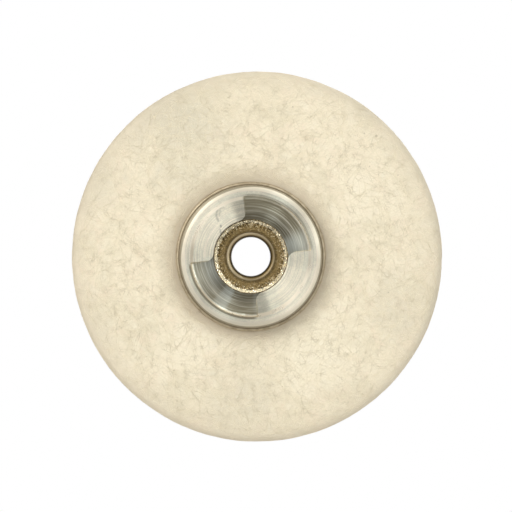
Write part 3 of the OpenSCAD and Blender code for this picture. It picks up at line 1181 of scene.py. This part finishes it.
@dataclass
class Bush:
    """The bearing bush and the bronze grains that stand out of both its faces."""

    bore_radius: float = 1.6 * MM
    mouth_width: float = 0.35 * MM
    rim_width: float = 0.08 * MM
    slope_width: float = 0.24 * MM
    slope_drop: float = 0.2 * MM
    dish_drop: float = 0.1 * MM
    heavy_side: float = 4.4
    seed: int = 21

    def __post_init__(self) -> None:
        """Takes the bush's size and place from the frame."""
        low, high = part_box("bearing_bush")
        self.radius = (high.x - low.x) / 2.0
        self.front, self.rear = low.y, high.y

    def face_y(self, away: float, face: Face) -> float:
        """The height of a face at a distance from the axis.

        Args:
            away: The distance.
            face: Which face.

        Returns:
            Its Y.
        """
        if face is Face.REAR:
            return self.rear
        slope_start = self.radius - self.rim_width
        slope_end = slope_start - self.slope_width
        dish_end = self.bore_radius + self.mouth_width
        drop = self.slope_drop * min(1.0, max(0.0, (slope_start - away) / self.slope_width))
        drop += self.dish_drop * min(1.0, max(0.0, (slope_end - away) / (slope_end - dish_end)))
        return self.front + drop

    def scatter(self, mesh: bmesh.types.BMesh, rng: random.Random, count: int, face: Face,
                reach: tuple[float, float], sizes: tuple[float, float]) -> None:
        """Scatters grains over a ring of a face.

        Args:
            mesh: The mesh to add them to.
            rng: The source of chance.
            count: How many there are.
            face: The face they stand out of.
            reach: The ring's inner and outer radius.
            sizes: The smallest and largest grain's radius.
        """
        for _ in range(count):
            away = rng.uniform(*reach)
            angle = rng.uniform(0.0, math.tau)
            size = rng.uniform(*sizes) * (1.0 + 0.25 * math.cos(angle - self.heavy_side))
            place = Vector((away * math.cos(angle), self.face_y(away, face), away * math.sin(angle)))
            turn = Matrix.Rotation(rng.uniform(0.0, math.tau), 4, Vector(
                (rng.uniform(-1.0, 1.0), rng.uniform(-1.0, 1.0), rng.uniform(0.2, 1.0))).normalized())
            stretch = Matrix.Diagonal((rng.uniform(0.7, 1.3), rng.uniform(0.6, 1.0), 1.0, 1.0))
            bmesh.ops.create_icosphere(
                mesh, subdivisions=1, radius=size, matrix=Matrix.Translation(place) @ turn @ stretch)

    def dress(self) -> None:
        """Finishes the bush and adds its grains."""
        finish = BronzeFinish(mouth_radius=(self.bore_radius + self.mouth_width) / MM)
        dress_node("bearing_bush", finish.material())
        rng = random.Random(self.seed)
        mouth = self.bore_radius + self.mouth_width + 0.1 * MM
        rim = self.radius - self.rim_width - self.slope_width
        small, large = (0.018 * MM, 0.045 * MM), (0.04 * MM, 0.085 * MM)
        dark = BronzeFinish(name="bronze_face_grains", loose=0.25).material()
        bright = BronzeFinish(name="bronze_rim_grains", loose=1.0).material()
        for name, count, face, reach, sizes, material in (
            ("bush_rim_grains", 300, Face.FRONT, (rim + 0.02 * MM, self.radius - 0.09 * MM), large,
             bright),
            ("bush_face_grains", 170, Face.FRONT, ((mouth + rim) / 2.0, rim), small, dark),
            ("bush_rear_grains", 420, Face.REAR, (mouth, self.radius - 0.12 * MM), small, dark),
        ):
            mesh = bmesh.new()
            self.scatter(mesh, rng, count, face, reach, sizes)
            made = bpy.data.meshes.new(name)
            mesh.to_mesh(made)
            mesh.free()
            add_piece(name, made, material, smooth=False)


def dress_node(name: str, material: bpy.types.Material) -> None:
    """Gives a CAD node its finish.

    Args:
        name: The node's name.
        material: The finish.
    """
    node = frame["nodes"][name]
    node.data.materials.clear()
    node.data.materials.append(material)
    LOG.info("%s: %s", name, material.name)


@dataclass
class Hub:
    """The drive hub, rear collar, washers and adhesive films."""

    pocket_radius: float = 4.88
    edge_width: float = 0.45

    def dress(self) -> None:
        """Finishes each piece."""
        low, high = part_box("rear_collar")
        steel = TurnedSteelFinish(
            floor_y=mount_place("jaw_pockets").y / MM, pocket_radius=self.pocket_radius,
            edge_radius=(high.x - low.x) / 2.0 / MM - self.edge_width,
            outer_radius=(high.x - low.x) / 2.0 / MM,
            scratches=(
                ((-2.1, 0.0, 3.92), (-2.65, 0.0, 3.88), 0.16, 0.4),
                ((-2.68, 0.0, 3.85), (-2.78, 0.0, 3.35), 0.17, 0.55),
                ((-2.78, 0.0, 3.35), (-2.62, 0.0, 2.85), 0.15, 0.5),
                ((-2.45, 0.0, 3.8), (-2.55, 0.0, 3.3), 0.12, 0.3),
                ((-2.41, 0.0, 2.5), (-2.4, 0.0, 2.42), 0.15, 0.8),
                ((-2.44, 0.0, 2.15), (-2.38, 0.0, 1.8), 0.13, 0.6),
            ))
        plain = TurnedSteelFinish(
            name="turned_steel_rear", floor_y=-99.0, edge_radius=steel.edge_radius,
            outer_radius=steel.outer_radius)
        dress_node("drive_hub", steel.material())
        dress_node("rear_collar", plain.material())
        washer = WasherFinish().material()
        glue = GlueFinish().material()
        for side in ("front", "rear"):
            dress_node(f"{side}_washer", washer)
            dress_node(f"{side}_adhesive", glue)


@dataclass(frozen=True)
class Lamp:
    """One soft lamp, placed round the wheel as seen from the front."""

    name: str
    clock: float
    tilt: float
    level: float
    size: float
    colour: Colour = (1.0, 1.0, 1.0)
    distance: float = 0.5

    def hang(self) -> None:
        """Puts the lamp in the scene, looking at the wheel."""
        clock, tilt = math.radians(self.clock), math.radians(self.tilt)
        place = self.distance * Vector((
            math.sin(tilt) * math.cos(clock), -math.cos(tilt), math.sin(tilt) * math.sin(clock)))
        light = bpy.data.lights.new(self.name, "AREA")
        light.shape = "DISK"
        light.size = self.size
        light.color = self.colour
        light.energy = self.level * math.pi ** 2 * self.distance ** 2
        lamp = bpy.data.objects.new(self.name, light)
        lamp.location = place
        lamp.rotation_euler = (-place).to_track_quat("-Z", "Y").to_euler()
        bpy.context.scene.collection.objects.link(lamp)


@dataclass
class Studio:
    """The camera, the lamps, the white surroundings and the floor."""

    camera_distance: float = 0.32
    frame_width: float = 41.5 * MM
    aim: tuple[float, float] = (0.42 * MM, 0.05 * MM)
    felt_front: float = -2.3 * MM
    ambient: float = 0.435
    open_front: float = 0.42
    floor_drop: float = 30.0 * MM
    floor_size: float = 1.2
    near_floor: tuple[float, float] = (0.06, 0.12)

    def camera(self) -> None:
        """Sets up the camera, looking straight along the wheel's axis."""
        data = bpy.data.cameras.new("camera")
        data.lens = data.sensor_width * (self.camera_distance + self.felt_front) / self.frame_width
        camera = bpy.data.objects.new("camera", data)
        camera.location = (self.aim[0], -self.camera_distance, self.aim[1])
        camera.rotation_euler = (math.pi / 2.0, 0.0, 0.0)
        data.clip_start = 0.01
        bpy.context.scene.collection.objects.link(camera)
        bpy.context.scene.camera = camera

    def surroundings(self) -> None:
        """Makes the world: white to the eye, and a tent with a dimmer open front to metal."""
        world = bpy.data.worlds.new("studio")
        bpy.context.scene.world = world
        world.use_nodes = True
        nodes, links = world.node_tree.nodes, world.node_tree.links
        nodes.clear()
        path = nodes.new("ShaderNodeLightPath")
        direction = nodes.new("ShaderNodeTexCoord")
        split = nodes.new("ShaderNodeSeparateXYZ")
        links.new(direction.outputs["Generated"], split.inputs[0])
        front = nodes.new("ShaderNodeMapRange")
        front.interpolation_type = "SMOOTHSTEP"
        links.new(split.outputs["Y"], front.inputs["Value"])
        for key, value in (("From Min", -0.9), ("From Max", -0.35), ("To Min", self.open_front),
                           ("To Max", 1.0)):
            front.inputs[key].default_value = value
        under = nodes.new("ShaderNodeMapRange")
        under.interpolation_type = "SMOOTHSTEP"
        links.new(split.outputs["Z"], under.inputs["Value"])
        for key, value in (("From Min", -0.7), ("From Max", 0.3), ("To Min", 0.42),
                           ("To Max", 1.0)):
            under.inputs[key].default_value = value
        tent = nodes.new("ShaderNodeMath")
        tent.operation = "MULTIPLY"
        links.new(front.outputs["Result"], tent.inputs[0])
        links.new(under.outputs["Result"], tent.inputs[1])
        mirrored = nodes.new("ShaderNodeMath")
        mirrored.operation = "MAXIMUM"
        links.new(path.outputs["Is Glossy Ray"], mirrored.inputs[0])
        links.new(path.outputs["Is Transmission Ray"], mirrored.inputs[1])
        strength = nodes.new("ShaderNodeMix")
        links.new(mirrored.outputs[0], strength.inputs["Factor"])
        strength.inputs["A"].default_value = self.ambient
        links.new(tent.outputs[0], strength.inputs["B"])
        seen = nodes.new("ShaderNodeMix")
        links.new(path.outputs["Is Camera Ray"], seen.inputs["Factor"])
        links.new(strength.outputs["Result"], seen.inputs["A"])
        seen.inputs["B"].default_value = 1.0
        background = nodes.new("ShaderNodeBackground")
        background.inputs["Color"].default_value = (1.0, 1.0, 1.0, 1.0)
        links.new(seen.outputs["Result"], background.inputs["Strength"])
        output = nodes.new("ShaderNodeOutputWorld")
        links.new(background.outputs[0], output.inputs["Surface"])

    def floor(self) -> None:
        """Lays the pale floor, which is pure white away from the wheel's shadow."""
        mesh = bmesh.new()
        bmesh.ops.create_grid(
            mesh, x_segments=8, y_segments=8, size=self.floor_size / 2.0,
            matrix=Matrix.Translation((0.0, 0.0, -self.floor_drop)))
        made = bpy.data.meshes.new("floor")
        mesh.to_mesh(made)
        mesh.free()
        floor = bpy.data.objects.new("floor", made)
        bpy.context.scene.collection.objects.link(floor)
        material = bpy.data.materials.new("pale_floor")
        material.use_nodes = True
        nodes, links = material.node_tree.nodes, material.node_tree.links
        nodes.clear()
        coordinates = nodes.new("ShaderNodeTexCoord")
        flat = nodes.new("ShaderNodeVectorMath")
        flat.operation = "MULTIPLY"
        links.new(coordinates.outputs["Object"], flat.inputs[0])
        flat.inputs[1].default_value = (1.0, 1.0, 0.0)
        length = nodes.new("ShaderNodeVectorMath")
        length.operation = "LENGTH"
        links.new(flat.outputs[0], length.inputs[0])
        far = nodes.new("ShaderNodeMapRange")
        far.interpolation_type = "SMOOTHSTEP"
        links.new(length.outputs["Value"], far.inputs["Value"])
        for key, value in (("From Min", self.near_floor[0]), ("From Max", self.near_floor[1]),
                           ("To Min", 0.3), ("To Max", 1.0)):
            far.inputs[key].default_value = value
        path = nodes.new("ShaderNodeLightPath")
        seen = nodes.new("ShaderNodeMath")
        seen.operation = "MULTIPLY"
        links.new(path.outputs["Is Camera Ray"], seen.inputs[0])
        links.new(far.outputs["Result"], seen.inputs[1])
        matt = nodes.new("ShaderNodeBsdfDiffuse")
        matt.inputs["Color"].default_value = (0.8, 0.8, 0.8, 1.0)
        glow = nodes.new("ShaderNodeEmission")
        glow.inputs["Color"].default_value = (1.0, 1.0, 1.0, 1.0)
        mixed = nodes.new("ShaderNodeMixShader")
        links.new(seen.outputs[0], mixed.inputs[0])
        links.new(matt.outputs[0], mixed.inputs[1])
        links.new(glow.outputs[0], mixed.inputs[2])
        output = nodes.new("ShaderNodeOutputMaterial")
        links.new(mixed.outputs[0], output.inputs["Surface"])
        made.materials.append(material)

    def build(self) -> None:
        """Sets up the whole studio."""
        self.camera()
        self.surroundings()
        self.floor()
        lamps: Sequence[Lamp] = (
            Lamp("key", clock=140.0, tilt=45.0, level=0.40, size=0.36),
            Lamp("window", clock=62.5, tilt=42.0, level=0.10, size=0.045, colour=(0.80, 0.92, 1.0)),
            Lamp("side", clock=17.0, tilt=42.0, level=0.13, size=0.14, colour=(0.85, 0.94, 1.0)),
            Lamp("fill", clock=190.0, tilt=60.0, level=0.11, size=0.40),
            Lamp("overhead", clock=80.0, tilt=74.0, level=0.13, size=0.5),
            Lamp("rear_soft", clock=60.0, tilt=135.0, level=0.42, size=0.35),
        )
        for lamp in lamps:
            lamp.hang()
        bpy.context.scene.view_settings.view_transform = "Standard"


def main() -> None:
    """Builds the studio and every piece in order."""
    logging.basicConfig(level=logging.INFO, format="%(name)s: %(message)s")
    Studio().build()
    felt = FeltDisc()
    felt.dress()
    Fibres(felt).dress()
    Hub().dress()
    Bush().dress()


if __name__ == "__main__":
    main()
